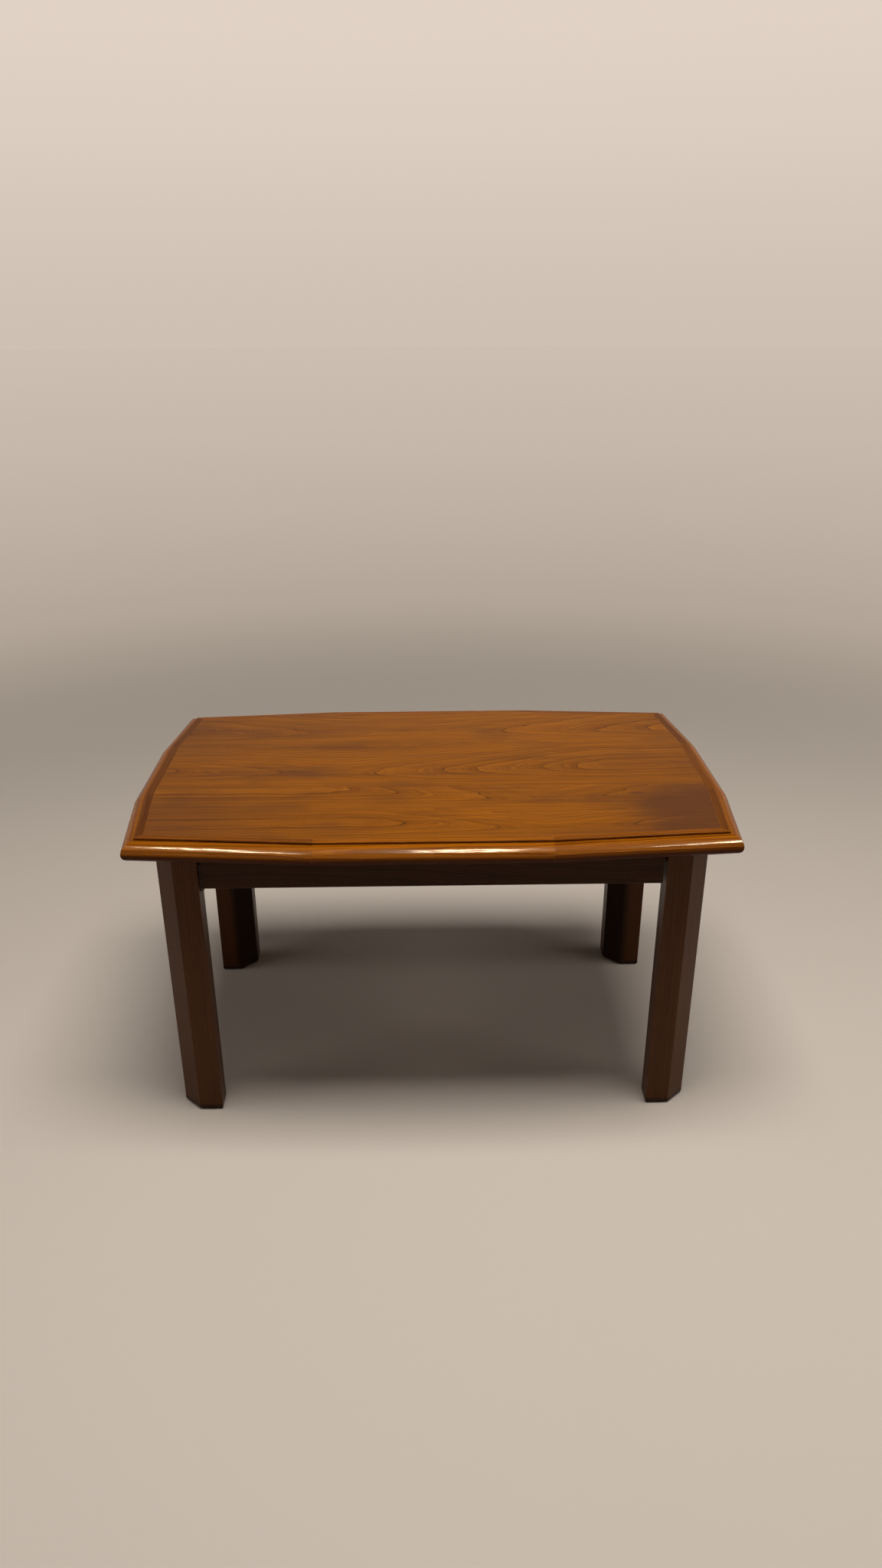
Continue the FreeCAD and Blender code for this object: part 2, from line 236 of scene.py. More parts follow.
sawn_rings = build_sawn_rings()
wood_figure = build_wood_figure()
use_marks = build_use_marks()
rubbed_arris = build_rubbed_arris()


def rgb(red, green, blue):
    return (red, green, blue, 1.0)


def show(tree, surface):
    tree.links.new(surface, tree.nodes["Material Output"].inputs[0])


# One wooden surface: figure, stain and any painted shade, wear and film of finish laid over a place
# and a ring count
def wood_surface(material, place, rings, colours, roughness, gloss, marks, bump, stain=None, coat=0.0,
                 line_share=0.12, line_depth=0.8, wear_reach=0.0012):
    fine_line_share, tone_share, pore_share, rubbed_share = 0.55, 0.4, 0.5, 0.55
    haze_share, scratch_share, wear_share = 0.1, 0.18, 0.15
    fibre_height, ripple_height, pore_height, line_height = 0.5, 0.6, 0.5, 0.25
    shade_fade, coat_roughness, bump_distance = (0.1, 0.85), 0.1, 0.0001
    light, dark, line, rubbed = colours
    tree = material.node_tree
    figure = place_group(tree, wood_figure, {"Place": place, "Rings": rings, "Line Share": line_share})
    used = place_group(tree, use_marks, {"Place": place})
    wear = place_group(tree, rubbed_arris, {"Place": place, "Reach": wear_reach})["Wear"]
    toned = times(tree, figure["Tone"], tone_share)
    shade = times_plus(tree, figure["Fine Lines"], fine_line_share, toned)
    shade = plus(tree, shade, minus(tree, figure["Fibre"], 0.5))
    colour = blend_colour(tree, fade(tree, shade, *shade_fade), light, dark)
    # The darker layer a caller gives: stain on the veneer, dirt and painted shade on the border, painted
    # shade on the legs
    if stain is not None:
        colour = blend_colour(tree, stain[0], colour, stain[1])
    tints = ((figure["Lines"], line_depth, line), (figure["Pores"], pore_share, line),
             (wear, rubbed_share, rubbed))
    for where, depth, tint in tints:
        colour = blend_colour(tree, times(tree, where, depth), colour, tint)
    hazy = times_plus(tree, minus(tree, used["Haze"], 0.5), haze_share, roughness)
    scuffed = times_plus(tree, used["Scratches"], scratch_share * marks, hazy)
    rough = times_plus(tree, wear, wear_share, scuffed)
    rippled = times(tree, used["Ripple"], ripple_height)
    height = times_plus(tree, figure["Fibre"], fibre_height, rippled)
    cuts = ((figure["Pores"], pore_height), (figure["Lines"], line_height), (used["Scratches"], marks))
    for cut, depth in cuts:
        height = times_plus(tree, cut, -depth, height)
    raised = result(tree, "ShaderNodeBump", {"Height": height, "Strength": bump, "Distance": bump_distance})
    feeds = {"Base Color": colour, "Roughness": rough, "Normal": raised,
             "Specular IOR Level": gloss, "Coat Weight": coat, "Coat Roughness": coat_roughness}
    show(tree, result(tree, "ShaderNodeBsdfPrincipled", feeds))


def bare_material(name):
    material = bpy.data.materials.new(name)
    material.use_nodes = True
    material.node_tree.nodes.remove(material.node_tree.nodes["Principled BSDF"])
    return material


mm_in_metre = 1000.0


# A place in a board, in millimetres: along is the turn that brings its grain onto X, spot is where
# in the log it lay
def board_place(material, along=(0.0, 0.0, 0.0), spot=(0.0, 0.0, 0.0)):
    tree = material.node_tree
    here = tree.nodes.new("ShaderNodeTexCoord").outputs["Object"]
    feeds = {0: here, "Location": spot, "Rotation": along, "Scale": (mm_in_metre, mm_in_metre, mm_in_metre)}
    return result(tree, "ShaderNodeMapping", feeds, vector_type="POINT")


def board_material(name, along, spot, pith, colours, stained=None, **finish):
    material = bare_material(name)
    place = board_place(material, along, spot)
    feeds = dict(zip(ring_labels, (*pith, board_wander, board_ripple)), Place=place)
    rings = place_group(material.node_tree, sawn_rings, feeds)["Rings"]
    # A board may take an extra darker layer, which on the legs is painted shade
    if stained is not None:
        finish["stain"] = stained(material)
    wood_surface(material, place, rings, colours, **finish)
    return material


def put_on(mesh, material):
    mesh.materials.clear()
    mesh.materials.append(material)


def dress(name, material):
    put_on(frame["nodes"][name].data, material)


grain_along_x = (0.0, 0.0, 0.0)
core_spot, core_pith = (0.0, 0.0, -300.0), (12.0, -34.0, 0.03, 4.2)
core_colours = (rgb(0.36, 0.21, 0.1), rgb(0.2, 0.105, 0.045), rgb(0.13, 0.06, 0.024), rgb(0.42, 0.27, 0.15))
core_wood = board_material("thinly stained softwood", grain_along_x, core_spot, core_pith, core_colours,
                           roughness=0.62, gloss=0.2, marks=0.3, bump=0.45)
dress("panel_core", core_wood)


# Border
# Twelve lengths of solid moulding, mitred end to end round the core and glued on by a tongue.
# Each has a flat strip level with the veneer, a small step, and a full round nose.
corner_x, corner_y = 0.2765, 0.1755
long_vertex_x, long_bulge = 0.1105, 0.015
short_vertex_y, short_bulge = 0.07, 0.011
strip_width, step_drop, quirk_width = 0.008, 0.0022, 0.002
upper_radius, arris_radius = 0.0105, 0.0005
top_height, underside_height = 0.32, 0.3
step_height = top_height - step_drop
nose_height = step_height - upper_radius
lower_radius = nose_height - underside_height
tongue_low, tongue_high, tongue_depth = 0.306, 0.311, 0.007
joint_ease, joint_run, strip_ease = 0.005, 0.00025, 0.0001
rail_points, arris_steps, upper_steps, lower_steps = 4, 4, 16, 12
made_sharp_angle = 0.6


def arc_points(centre, radius, start, end, steps):
    turns = [start + (end - start) * i / steps for i in range(steps + 1)]
    return [(centre[0] + radius * math.sin(t), centre[1] + radius * math.cos(t)) for t in turns]


def moulding_section():
    lower_out = quirk_width + upper_radius - lower_radius
    quarter = math.pi / 2
    points = [(-strip_width, top_height - strip_ease), (-strip_width + strip_ease, top_height)]
    points += arc_points((-arris_radius, top_height - arris_radius), arris_radius, 0.0, quarter, arris_steps)
    points += [(0.0, step_height)]
    points += arc_points((quirk_width, nose_height), upper_radius, 0.0, quarter, upper_steps)
    points += arc_points((lower_out, nose_height), lower_radius, quarter, 2 * quarter, lower_steps)[1:]
    points += [(-strip_width, underside_height), (-strip_width, tongue_low)]
    points += [(-strip_width - tongue_depth, tongue_low), (-strip_width - tongue_depth, tongue_high)]
    points += [(-strip_width, tongue_high)]
    return points


def from_axes(tree, **parts):
    feeds = {"xyz".index(axis): value for axis, value in parts.items()}
    return result(tree, "ShaderNodeCombineXYZ", feeds)


def blend_number(tree, share, first, second):
    return result(tree, "ShaderNodeMix", {0: share, 2: first, 3: second}, data_type="FLOAT")


def store_note(tree, shape, name, value, kind="FLOAT"):
    feeds = {"Geometry": shape, "Name": name, "Value": value}
    return result(tree, "GeometryNodeStoreNamedAttribute", feeds, data_type=kind, domain="POINT")


def read_note(tree, name, kind="FLOAT"):
    return result(tree, "GeometryNodeInputNamedAttribute", {"Name": name}, data_type=kind)


def finish_tree(tree, shape, finish, made):
    real = result(tree, "GeometryNodeRealizeInstances", {0: shape})
    dressed = result(tree, "GeometryNodeSetMaterial", {"Geometry": real, "Material": finish})
    tree.links.new(dressed, made)
    return tree


# Sweeps the section from one mitre to the next. Section points hold (out, height) as x and y.
def build_moulding_tree():
    takes = {"Section": "Geometry", "Section Middle": "Vector", "Start": "Vector", "End": "Vector",
             "Start Mitre": "Float", "End Mitre": "Float", "Joint Ease": "Float", "Joint Run": "Float",
             "Board Spot": "Vector", "Board Tone": "Float", "Finish": "Material"}
    tree, given, made = new_tree("Geometry", "mitred moulding", takes, {"Moulding": "Geometry"})
    line = result(tree, "GeometryNodeCurvePrimitiveLine", {"Start": given["Start"], "End": given["End"]})
    rail = result(tree, "GeometryNodeResampleCurve", {"Curve": line, "Count": rail_points})
    rail = store_note(tree, rail, "rail", result(tree, "GeometryNodeInputIndex"))
    section = result(tree, "GeometryNodeMeshToCurve", {0: given["Section"]})
    spot = result(tree, "GeometryNodeInputPosition")
    section = store_note(tree, section, "section", spot, "FLOAT_VECTOR")
    feeds = {"Curve": rail, "Profile Curve": section, "Fill Caps": True}
    swept = result(tree, "GeometryNodeCurveToMesh", feeds)
    rail_step = read_note(tree, "rail")
    shape = read_note(tree, "section", "FLOAT_VECTOR")
    rail_middle = (rail_points - 1) / 2
    at_end = number(tree, "GREATER_THAN", rail_step, rail_middle)
    from_middle = number(tree, "ABSOLUTE", minus(tree, rail_step, rail_middle))
    at_tip = number(tree, "GREATER_THAN", from_middle, rail_middle - 0.5)
    run = vector(tree, "SUBTRACT", given["End"], given["Start"])
    length = measure(tree, "LENGTH", run)
    along = add_node(tree, "ShaderNodeVectorMath", {0: run}, operation="NORMALIZE").outputs["Vector"]
    outward = vector(tree, "CROSS_PRODUCT", along, (0.0, 0.0, 1.0))
    middle = given["Section Middle"]
    eased = rest_of(tree, times(tree, at_tip, given["Joint Ease"]))
    shrunk = vector(tree, "SCALE", vector(tree, "SUBTRACT", shape, middle), eased)
    parts = axes(tree, vector(tree, "ADD", shrunk, middle))
    true_out = axes(tree, shape)[0]
    inset = times(tree, rest_of(tree, at_tip), given["Joint Run"])
    start_run = minus(tree, inset, times(tree, true_out, given["Start Mitre"]))
    to_end = times_plus(tree, true_out, given["End Mitre"], length)
    end_run = minus(tree, to_end, inset)
    run_here = blend_number(tree, at_end, start_run, end_run)
    base = vector(tree, "ADD", given["Start"], vector(tree, "SCALE", along, run_here))
    sideways = vector(tree, "SCALE", outward, parts[0])
    target = vector(tree, "ADD", vector(tree, "ADD", base, sideways), from_axes(tree, z=parts[1]))
    placed = result(tree, "GeometryNodeSetPosition", {"Geometry": swept, "Position": target})
    board = vector(tree, "SCALE", from_axes(tree, x=run_here, y=true_out, z=parts[1]), mm_in_metre)
    noted = store_note(tree, placed, "board", vector(tree, "ADD", board, given["Board Spot"]), "FLOAT_VECTOR")
    noted = store_note(tree, noted, "board tone", given["Board Tone"])
    noted = store_note(tree, noted, "joint", at_tip)
    return finish_tree(tree, noted, given["Finish"], made["Moulding"])


def stand_in_scene(name, mesh):
    thing = bpy.data.objects.new(name, mesh)
    bpy.context.scene.collection.objects.link(thing)
    return thing


def shade_evenly(name, mesh, sharp_angle):
    mesh.shade_smooth()
    mesh.set_sharp_from_angle(angle=sharp_angle)
    piece = stand_in_scene(name, mesh)
    piece.modifiers.new("even shading", "WEIGHTED_NORMAL").keep_sharp = True
    return piece


# Turns a Geometry Nodes object into a plain closed mesh with soft and sharp edges
def settle(name, source, tree, values):
    modifier = source.modifiers.new("made by rule", "NODES")
    modifier.node_group = tree
    for item in tree.interface.items_tree:
        if item.in_out == "INPUT" and item.name in values:
            modifier[item.identifier] = values[item.name]
    bpy.context.view_layer.update()
    ready = source.evaluated_get(bpy.context.evaluated_depsgraph_get())
    mesh = bpy.data.meshes.new_from_object(ready)
    bpy.data.objects.remove(source)
    mesh.name = name
    return shade_evenly(name, mesh, made_sharp_angle)


def section_object():
    points = moulding_section()
    mesh = bpy.data.meshes.new("moulding section")
    loop = [(i, (i + 1) % len(points)) for i in range(len(points))]
    mesh.from_pydata([(out, height, 0.0) for out, height in points], loop, [])
    return stand_in_scene("moulding section", mesh)


# Clear lacquer over orange stained wood. The step is dark with dirt and painted shade, the joints
# with dirt, and the nose carries painted shade towards its underside. The sides are browned, and
# only the rounded noses of the long sides are rubbed to a gloss.
border_pith = {"Pith Across": -150.0, "Pith Depth": 165.0, "Taper": 0.008, "Ring Width": 2.4,
               "Wander": 3.5, "Ripple": 0.45}
border_colours = (rgb(0.44, 0.131, 0.002), rgb(0.205, 0.05, 0.001), rgb(0.07, 0.016, 0.001),
                  rgb(0.36, 0.125, 0.012))
# Colour of the dirt in the step and joints, and of the painted shade in the step and under the nose
border_dirt_and_shade_colour = rgb(0.035, 0.0085, 0.0022)
rings_apart, joint_dirt = 37.0, 0.8
browned_strip, browned_nose = 0.85, 0.45
step_dirt_and_shade_fade, painted_shade_under_fade = (1.25, 0.5, 0.0, 0.97), (312.0, 304.5, 0.0, 0.95)
round_fade, polish_heights, polish_tones = (0.4, 1.6), (308.0, 313.0), (0.62, 0.58)
streaks_size, streaks_fade = (20.0, 0.75, 0.75), (0.4, 0.56, 0.12, 1.0)


def border_material():
    material = bare_material("lacquered border wood")
    tree = material.node_tree
    place = add_node(tree, "ShaderNodeAttribute", attribute_name="board").outputs["Vector"]
    tone = add_node(tree, "ShaderNodeAttribute", attribute_name="board tone").outputs["Fac"]
    joint = add_node(tree, "ShaderNodeAttribute", attribute_name="joint").outputs["Fac"]
    rings = place_group(tree, sawn_rings, {"Place": place, **border_pith})["Rings"]
    rings = times_plus(tree, tone, rings_apart, rings)
    out, height = axes(tree, place)[1:]
    # Dirt and painted shade in the corner of the step, and dirt in the joints
    over_step = minus(tree, height, step_height * mm_in_metre)
    dirt_and_step_shade = fade(tree, measure(tree, "LENGTH", from_axes(tree, y=out, z=over_step)), *step_dirt_and_shade_fade)
    dirt_and_step_shade = larger(tree, dirt_and_step_shade, times(tree, joint, joint_dirt))
    # Painted shade on the nose, darker towards its underside
    painted_shade_under = fade(tree, height, *painted_shade_under_fade)
    rounded = fade(tree, out, *round_fade)
    depth = times_plus(tree, rounded, browned_nose - browned_strip, browned_strip)
    browned = times(tree, tone, depth)
    dirt_shade_and_browning = larger(tree, larger(tree, dirt_and_step_shade, painted_shade_under), browned)
    grain = fade(tree, cloud(tree, place, streaks_size, detail=3.0), *streaks_fade)
    polished = times(tree, rounded, fade(tree, height, *polish_heights))
    for share in (fade(tree, tone, *polish_tones), rest_of(tree, joint), grain):
        polished = times(tree, polished, share)
    wood_surface(material, place, rings, border_colours, roughness=0.26, gloss=0.06, marks=1.0, bump=0.8,
                 stain=(dirt_shade_and_browning, border_dirt_and_shade_colour), coat=polished, line_share=0.2, line_depth=0.75,
                 wear_reach=0.0008)
    return material


border_wood = border_material()
moulding_tree = build_moulding_tree()
long_side, short_side = corner_y + long_bulge, corner_x + short_bulge
# The corners of the front and right sides, and the same again turned half round
half_ring = [(-corner_x, -corner_y), (-long_vertex_x, -long_side), (long_vertex_x, -long_side),
             (corner_x, -corner_y), (short_side, -short_vertex_y), (short_side, short_vertex_y)]
ring_of_vertices = half_ring + [(-x, -y) for x, y in half_ring]
border_tones = {
    "border_front_left": 0.54, "border_front_middle": 0.24, "border_front_right": 0.4,
    "border_right_front": 0.81, "border_right_middle": 0.72, "border_right_back": 0.79,
    "border_back_right": 0.45, "border_back_middle": 0.3, "border_back_left": 0.5,
    "border_left_back": 0.82, "border_left_middle": 0.78, "border_left_front": 0.88,
}
section_middle = (quirk_width, (top_height + underside_height) / 2, 0.0)
boards_apart = 743.0


def half_turn_slope(before, here, after):
    turn = (after - here).angle_signed(here - before)
    return math.tan(turn / 2)


for step, (name, tone) in enumerate(border_tones.items()):
    corners = [Vector(ring_of_vertices[(step + k) % len(ring_of_vertices)]) for k in (-1, 0, 1, 2)]
    values = {
        "Start": corners[1].to_3d(), "End": corners[2].to_3d(),
        "Start Mitre": half_turn_slope(*corners[:3]), "End Mitre": half_turn_slope(*corners[1:]),
        "Joint Ease": joint_ease, "Joint Run": joint_run, "Section Middle": section_middle,
        "Board Spot": (step * boards_apart, 0.0, 0.0), "Board Tone": tone, "Finish": border_wood,
    }
    moulding = settle(name + ".moulding", section_object(), moulding_tree, values)
    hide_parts(name)
    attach(moulding, "table")


# Veneer
# Two leaves of sliced veneer, a millimetre thick, laid with their grain along the table and
# butted at a seam near the front. Stained orange brown and lacquered to a gloss.
veneer_colours = (rgb(0.35, 0.109, 0.004), rgb(0.155, 0.043, 0.002), rgb(0.045, 0.014, 0.001),
                  rgb(0.42, 0.19, 0.06))
veneer_brown, deepest_brown = rgb(0.1, 0.034, 0.011), 0.9
drift_size, drift_reach = (130.0, 45.0, 45.0), (24.0, 9.0, 0.0)
broad_size, broad_share = (52.0, 11.0, 11.0), 0.42
small_size, small_share = (13.0, 3.0, 3.0), 0.07
blotch_size, blotch_fade = (85.0, 48.0, 48.0), (0.45, 0.8, 0.0, 0.35)
straight_size, straight_fade = (260.0, 1.5, 1.5), (0.48, 0.7, 0.0, 0.45)
steep_fade, end_fade = (0.04, 0.16, 0.8, 0.45), (110.0, 310.0, 0.0, 0.2)
ring_shift, row_blend, line_spread, widest_line = 0.1, 1.5, 0.75, 0.25
patch_rim, patch_heart, patch_thickness = 1.5, 0.35, 1000.0

# The rows of arches in each leaf, in millimetres and rings
row_labels = ("Saddle", "Centre", "Tilt", "Left Pitch", "Right Pitch", "Left Rings", "Right Rings", "Flat",
              "Upper Width", "Upper Power", "Lower Width", "Lower Power", "Lean Limit")
back_rows = [(-97.0, -13.0, 0.06, 58.0, 35.0, 3.4, 7.6, 9.0, 17.4, 1.45, 20.0, 2.4, 30.0),
             (-25.0, 113.0, 0.02, 52.0, 48.0, 3.0, 4.6, 110.0, 27.0, 1.4, 17.0, 2.1, 30.0)]
front_rows = [(112.0, -97.0, 0.176, 46.0, 58.0, 4.4, 3.0, 14.0, 26.0, 1.5, 14.0, 1.6, 36.0),
              (112.0, -167.0, 0.15, 42.0, 70.0, 3.4, 2.6, 16.0, 15.0, 1.6, 15.0, 1.6, 22.0)]

# Browned or paler patches of each leaf: centre, reach and depth
back_patches = [((-118.0, -15.0), (34.0, 16.0), 0.3), ((-150.0, 122.0), (60.0, 30.0), 0.25),
                ((-250.0, 90.0), (60.0, 40.0), 0.1), ((195.0, 130.0), (130.0, 80.0), -0.2)]
front_patches = [((266.0, -118.0), (76.0, 70.0), 0.66), ((200.0, -185.0), (120.0, 26.0), 0.3),
                 ((-43.0, -90.0), (26.0, 14.0), 0.22), ((-152.0, -107.0), (30.0, 20.0), 0.25),
                 ((-240.0, -130.0), (70.0, 60.0), 0.34), ((207.0, -78.0), (7.0, 3.0), 0.5)]


# One row of nested arches: rings rise both ways from a saddle and fall away from the row's centre
def build_arch_row():
    crown_softness, lean_softness, blunt_tip, least_steep = 1.0, 8.0, 0.5, 0.025
    tree, given, made = new_group("row of arches", row_labels, ["Rings", "Steep"])
    parts = axes(tree, given["Place"])
    offset = minus(tree, parts[0], given["Saddle"])
    flat_square = times(tree, given["Flat"], given["Flat"])
    rise = 0.0
    for side, sign in (("Left", -1.0), ("Right", 1.0)):
        reach = larger(tree, times(tree, offset, sign), 0.0)
        bowed = number(tree, "SQRT", times_plus(tree, reach, reach, flat_square))
        climb = number(tree, "DIVIDE", minus(tree, bowed, given["Flat"]), given[side + " Pitch"])
        capped = number(tree, "SMOOTH_MIN", climb, given[side + " Rings"], crown_softness)
        rise = plus(tree, rise, capped)
    lean = times(tree, number(tree, "ABSOLUTE", offset), given["Tilt"])
    lean = number(tree, "SMOOTH_MIN", lean, given["Lean Limit"], lean_softness)
    off_centre = minus(tree, parts[1], plus(tree, given["Centre"], lean))
    above = number(tree, "GREATER_THAN", off_centre, 0.0)
    width = blend_number(tree, above, given["Lower Width"], given["Upper Width"])
    power = blend_number(tree, above, given["Lower Power"], given["Upper Power"])
    distance = plus(tree, number(tree, "ABSOLUTE", off_centre), blunt_tip)
    fall = number(tree, "POWER", number(tree, "DIVIDE", distance, width), power)
    tree.links.new(minus(tree, rise, fall), made["Rings"])
    slope = number(tree, "DIVIDE", times(tree, fall, power), distance)
    tree.links.new(plus(tree, slope, least_steep), made["Steep"])
    return tree


def veneer_material(name, rows, spot, patches):
    material = bare_material(name)
    tree = material.node_tree
    flat = board_place(material)
    place = vector(tree, "ADD", flat, spot)
    drift = vector(tree, "MULTIPLY", sway(tree, place, drift_size, detail=1.0, wide=True), drift_reach)
    wandering = vector(tree, "ADD", flat, drift)
    rings = None
    for row in rows:
        arches = place_group(tree, arch_row, {"Place": wandering, **dict(zip(row_labels, row))})
        if rings is None:
            rings, steep = arches["Rings"], arches["Steep"]
        else:
            nearer = number(tree, "GREATER_THAN", arches["Rings"], rings)
            steep = blend_number(tree, nearer, steep, arches["Steep"])
            rings = number(tree, "SMOOTH_MAX", rings, arches["Rings"], row_blend)
    rings = times_plus(tree, sway(tree, place, broad_size, detail=1.0), broad_share, rings)
    rings = plus(tree, rings, ring_shift)
    rings = times_plus(tree, sway(tree, place, small_size, detail=1.0), small_share, rings)
    line_share = number(tree, "MINIMUM", times(tree, steep, line_spread), widest_line)
    line_depth = fade(tree, steep, *steep_fade)
    from_middle = number(tree, "ABSOLUTE", axes(tree, wandering)[0])
    ends = fade(tree, from_middle, *end_fade)
    blotch = fade(tree, cloud(tree, place, blotch_size), *blotch_fade)
    straight = fade(tree, cloud(tree, place, straight_size, detail=1.0), *straight_fade)
    browned = plus(tree, plus(tree, ends, blotch), straight)
    for centre, size, depth in patches:
        away = vector(tree, "SUBTRACT", wandering, (*centre, top_height * mm_in_metre))
        far = measure(tree, "LENGTH", vector(tree, "DIVIDE", away, (*size, patch_thickness)))
        browned = plus(tree, browned, fade(tree, far, patch_rim, patch_heart, 0.0, depth))
    stain = (number(tree, "MINIMUM", browned, deepest_brown), veneer_brown)
    wood_surface(material, place, rings, veneer_colours, roughness=0.3, gloss=0.05, marks=0.35, bump=0.16,
                 stain=stain, line_share=line_share, line_depth=line_depth, wear_reach=0.0005)
    return material


arch_row = build_arch_row()
for leaf, rows, spot, patches in (("back", back_rows, (310.0, 95.0, 0.0), back_patches),
                                  ("front", front_rows, (-870.0, 420.0, 0.0), front_patches)):
    leaf_wood = veneer_material("lacquered veneer, " + leaf + " leaf", rows, spot, patches)
    dress("veneer_" + leaf + "_leaf", leaf_wood)


# Aprons
# Four rails under the top, screwed up into the core through the corner braces. Dark brown stain
# under a satin film, their lower outer arris taken off with a plane.
grain_along_y = (0.0, 0.0, -math.pi / 2)
apron_colours = (rgb(0.05, 0.0175, 0.004), rgb(0.023, 0.0078, 0.002), rgb(0.011, 0.004, 0.0015),
                 rgb(0.14, 0.075, 0.04))
apron_boards = {
    "front": (grain_along_x, (0.0, 0.0, -280.0), (8.0, -52.0, 0.06, 3.6)),
    "back": (grain_along_x, (900.0, 0.0, -280.0), (-16.0, -46.0, -0.05, 3.4)),
    "right": (grain_along_y, (1700.0, 0.0, -275.0), (14.0, -50.0, 0.07, 3.8)),
    "left": (grain_along_y, (2600.0, 0.0, -275.0), (-9.0, -58.0, -0.06, 3.5)),
}
for side, (along, spot, pith) in apron_boards.items():
    apron_wood = board_material("satin dark stain, apron " + side, along, spot, pith, apron_colours,
                                line_depth=0.35, roughness=0.42, gloss=0.1, marks=0.6, bump=0.3)
    dress("apron_" + side, apron_wood)


# Corner braces and centre batten
# Blocks of plain softwood that tie the frame to the core: one across each corner and one across
# the middle. Left bare from the plane.
bare_colours = (rgb(0.4, 0.25, 0.125), rgb(0.27, 0.155, 0.07), rgb(0.18, 0.09, 0.036), rgb(0.48, 0.33, 0.19))
bare_finish = {"roughness": 0.7, "gloss": 0.2, "marks": 0.3, "bump": 0.6}
brace_turns = {"front_left": 1.0, "front_right": -1.0, "back_right": 1.0, "back_left": -1.0}
brace_pith, braces_apart = (0.0, -42.0, 0.05, 3.1), 510.0
for step, (corner, sign) in enumerate(brace_turns.items()):
    along = (0.0, 0.0, sign * math.pi / 4)
    spot = (step * braces_apart, 30.0, -280.0)
    brace_wood = board_material("bare softwood, brace " + corner.replace("_", " "), along, spot, brace_pith,
                                bare_colours, **bare_finish)
    dress("corner_brace_" + corner, brace_wood)
batten_spot, batten_pith = (77.0, 5.0, -280.0), (6.0, -38.0, 0.04, 3.3)
dress("centre_batten", board_material("bare softwood, batten", grain_along_y, batten_spot, batten_pith,
                                      bare_colours, **bare_finish))


# Legs
# Square posts with their outer and inner corners cut off, each folding on its own hinge. Dark
# brown stain with a little red in it, a satin film, arrises just broken and rubbed by use.
grain_along_z = (0.0, math.pi / 2, 0.0)
leg_colours = (rgb(0.088, 0.029, 0.0065), rgb(0.052, 0.0168, 0.004), rgb(0.03, 0.01, 0.003),
               rgb(0.2, 0.11, 0.06))
# Colour of the painted shade on the legs' inner faces and of the darkening towards the foot
leg_inner_shade_and_foot_colour = rgb(0.009, 0.0028, 0.0008)
inner_shade_fade, foot_fade = (14.0, 24.5, 0.0, 0.9), (8.0, 3.0, 0.0, 0.9)
leg_boards = {
    "front_left": ((0.0, 145.0, -244.0), (10.0, 47.0, 0.012, 2.6)),
    "front_right": ((400.0, 145.0, 244.0), (-24.0, 40.0, -0.014, 2.4)),
    "back_right": ((900.0, -145.0, 244.0), (18.0, -44.0, 0.016, 2.7)),
    "back_left": ((1400.0, -145.0, -244.0), (-12.0, 50.0, -0.01, 2.5)),
}
copied_sharp_angle, join_distance = 0.5, 0.000001


def middle_and_half(name):
    low, high = map(Vector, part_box(name))
    return (low + high) / 2, (high - low) / 2


# Painted shade on each leg's inner faces and inner chamfer, and the leg darker towards its foot
def inner_shade_and_dark_foot(corner):
    leg_middle = middle_and_half("leg_" + corner)[0] * mm_in_metre
    inward_x, inward_y = -math.copysign(1.0, leg_middle.x), -math.copysign(1.0, leg_middle.y)
    middle_reach = abs(leg_middle.x) + abs(leg_middle.y)

    def stained(material):
        tree = material.node_tree
        here = board_place(material)
        inward = measure(tree, "DOT_PRODUCT", here, (inward_x, inward_y, 0.0))
        # Painted shade grows towards the leg's inner corner
        inner_shade = fade(tree, plus(tree, inward, middle_reach), *inner_shade_fade)
        foot = fade(tree, axes(tree, here)[2], *foot_fade)
        return larger(tree, inner_shade, foot), leg_inner_shade_and_foot_colour

    return stained


# A copy of a solid's mesh with its corners joined, so that rounded arrises shade softly
def joined_copy(name, ending, body, material):
    mesh = frame["nodes"][name].data.copy()
    shape = bmesh.new()
    shape.from_mesh(mesh)
    bmesh.ops.remove_doubles(shape, verts=shape.verts, dist=join_distance)
    shape.to_mesh(mesh)
    shape.free()
    if "custom_normal" in mesh.attributes:
        mesh.attributes.remove(mesh.attributes["custom_normal"])
    put_on(mesh, material)
    piece = shade_evenly(name + ending, mesh, copied_sharp_angle)
    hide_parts(name)
    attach(piece, body)


for corner, (spot, pith) in leg_boards.items():
    leg_wood = board_material("satin dark stain, leg " + corner.replace("_", " "), grain_along_z, spot, pith,
                              leg_colours, inner_shade_and_dark_foot(corner), line_depth=0.35, roughness=0.4, gloss=0.12,
                              marks=0.7, bump=0.3)
    joined_copy("leg_" + corner, ".post", "leg_" + corner, leg_wood)


# Hinges
# One small butt hinge per leg, let in between the leg's inner face and the end of the apron:
# two pressed steel leaves and a riveted pin, blackened, so that only a dark line shows in the gap.
bright_steel = rgb(0.5, 0.48, 0.45)
brushing_size, steel_patch_fade = (6.0, 0.35, 0.35), (0.35, 0.7)
brushed_share, worn_share, patch_roughness = 0.3, 0.6, 0.2
steel_wear_reach, brushing_strength, brushing_depth = 0.0003, 0.3, 0.00003


